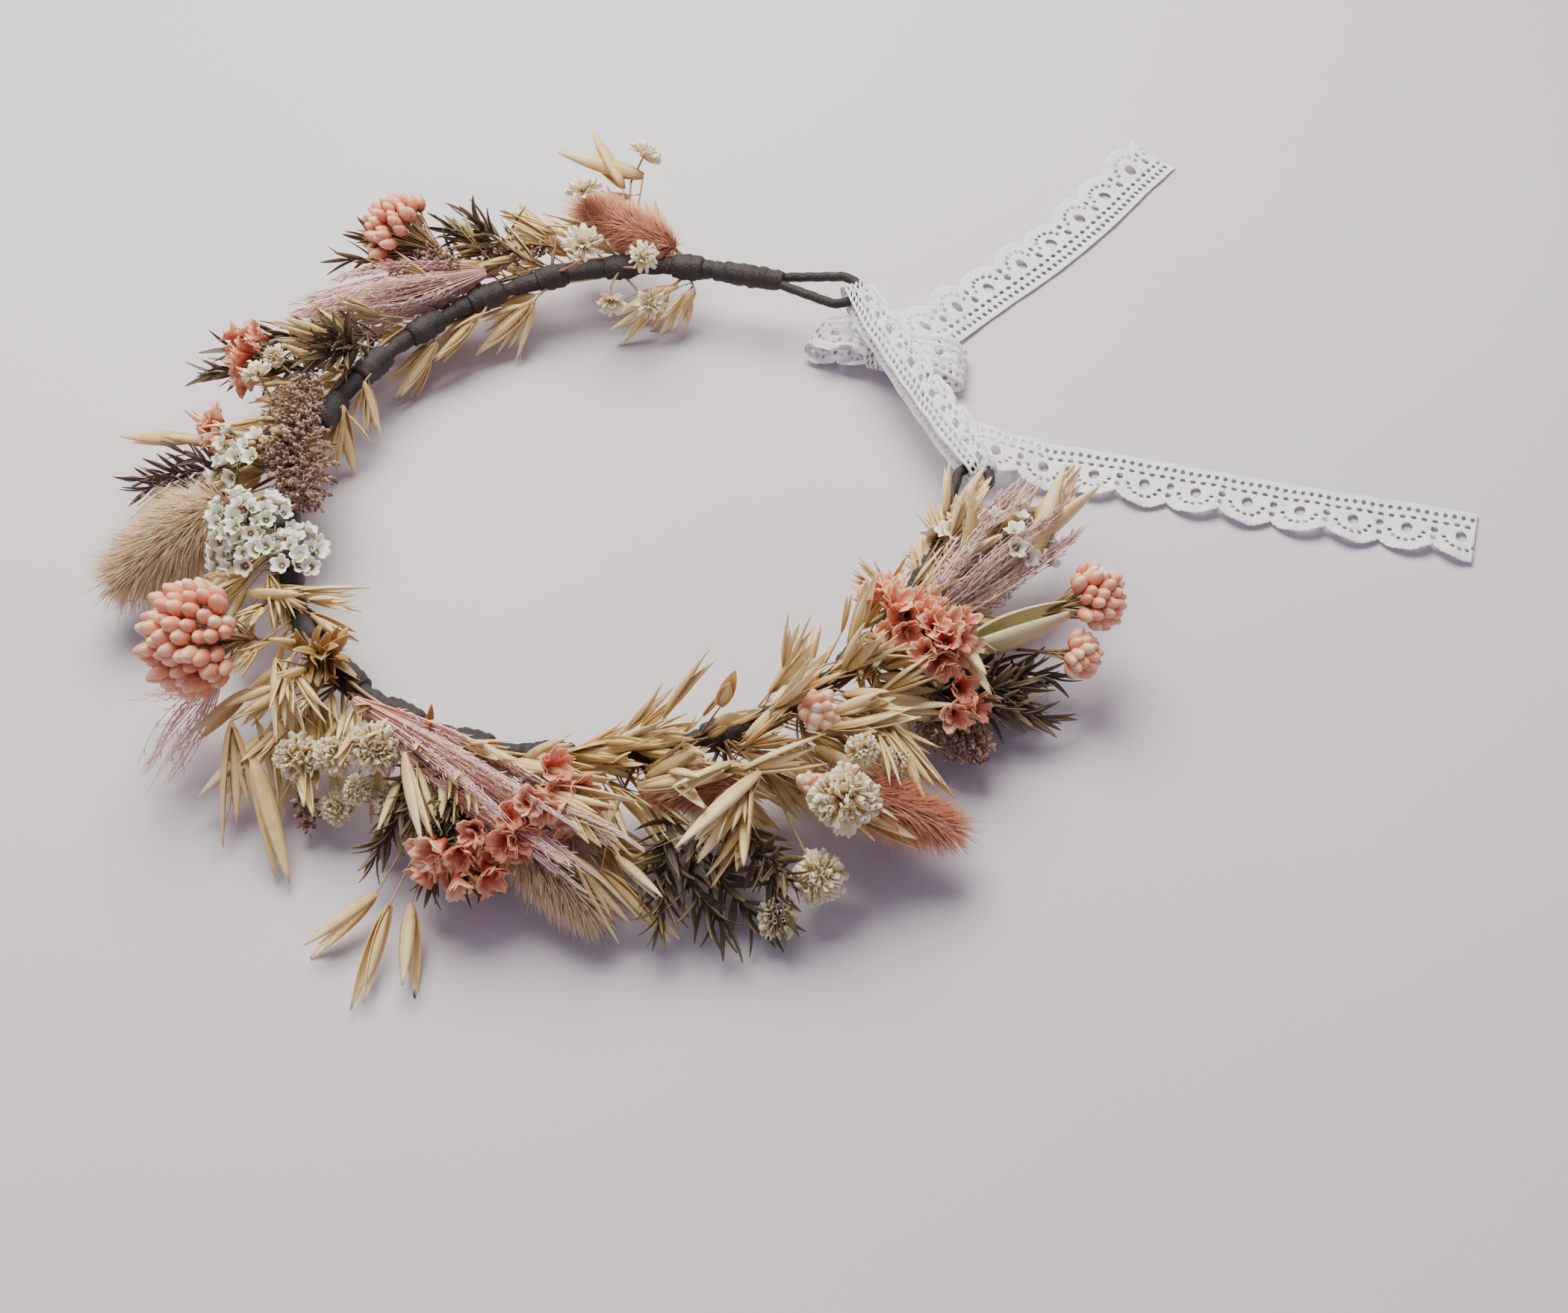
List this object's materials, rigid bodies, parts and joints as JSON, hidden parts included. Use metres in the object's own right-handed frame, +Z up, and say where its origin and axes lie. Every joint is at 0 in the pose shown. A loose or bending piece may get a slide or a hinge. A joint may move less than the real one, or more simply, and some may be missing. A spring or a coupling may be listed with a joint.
{
  "type": "flower crown",
  "caption": "Hair wreath of dried flowers bound with dark tape round a wire ring that is open at the back and closed by a white lace ribbon tied in a bow",
  "frame": {"origin": "On the table plane, on the axis of the ring, at the lower mouth of the head opening", "axes": "+Z up through the ring, +Y towards the open back with the lace, -Y towards the front of the head"},
  "size_m": [0.2788, 0.3701, 0.0531],
  "materials": {
    "wire": "plain drawn florist wire",
    "floral_tape": "waxed crepe paper tape, dark brown, wound on a slant",
    "straw": "dry straw, satin, finely veined along its length",
    "lace": "white cotton crochet lace",
    "terracotta_fluff": "soft fine hair, dyed",
    "cream_petal": "matt cream petals",
    "coral_bud": "dry papery scales with pale tips",
    "olive_leaf": "dried narrow leaves, dull",
    "pink_plume": "fine dyed plume strands",
    "umber_seed": "granular dry seed heads",
    "coral_petal": "crumpled papery petals, dyed",
    "white_petal": "papery white petals with green throats",
    "beige_fluff": "soft fine hair",
    "golden_leaf": "dried golden leaves",
    "mauve_plume": "fine muted plume strands",
    "green_husk": "pale green husk, satin"
  },
  "bodies": {
    "root": {"core_wire": "wire", "ring_tape": "floral_tape", "binding_bands": "floral_tape", "bound_stems": "straw", "left_end_wrap": "floral_tape", "right_end_wrap": "floral_tape", "left_loop_tape": "floral_tape", "right_loop_tape": "floral_tape", "lace_strap": "lace", "lace_bow": "lace", "lace_tail_left": "lace", "lace_tail_right": "lace", "terracotta_hares_tail": "terracotta_fluff", "daisies_left_end": "cream_petal", "oats_left_end": "straw", "rice_flower_back_left": "coral_bud", "needle_leaves_back_left": "olive_leaf", "pink_plume_left": "pink_plume", "seed_heads_back_left": "umber_seed", "oats_back_left": "straw", "needle_leaves_left": "olive_leaf", "coral_statice_left": "coral_petal", "pale_buds_left": "cream_petal", "oats_left": "straw", "astilbe_left": "umber_seed", "white_statice_left": "white_petal", "dark_twigs_left": "olive_leaf", "beige_hares_tail": "beige_fluff", "white_statice_cluster": "white_petal", "rice_flower_left": "coral_bud", "oats_lower_left": "straw", "oats_outer_left": "straw", "golden_leaves_left": "golden_leaf", "pink_wisps_left": "pink_plume", "pompoms_left": "cream_petal", "bud_twig_left": "umber_seed", "needle_leaves_front_left": "olive_leaf", "oat_trio_front": "straw", "pink_plume_front": "pink_plume", "coral_statice_front": "coral_petal", "beige_hares_tail_front": "beige_fluff", "oats_front_left": "straw", "oats_front": "straw", "oats_front_right": "straw", "coral_hares_tail": "terracotta_fluff", "coral_hares_tail_inner": "terracotta_fluff", "pompoms_right": "cream_petal", "rice_flower_front_right": "coral_bud", "needle_leaves_front_right": "olive_leaf", "rice_flower_right": "coral_bud", "mauve_plume_right": "mauve_plume", "coral_statice_right": "coral_petal", "oats_right": "straw", "oats_right_end": "straw", "green_pod_right": "green_husk", "needle_leaves_right": "olive_leaf", "astilbe_right": "umber_seed", "white_statice_right": "white_petal"}
  },
  "joints": []
}
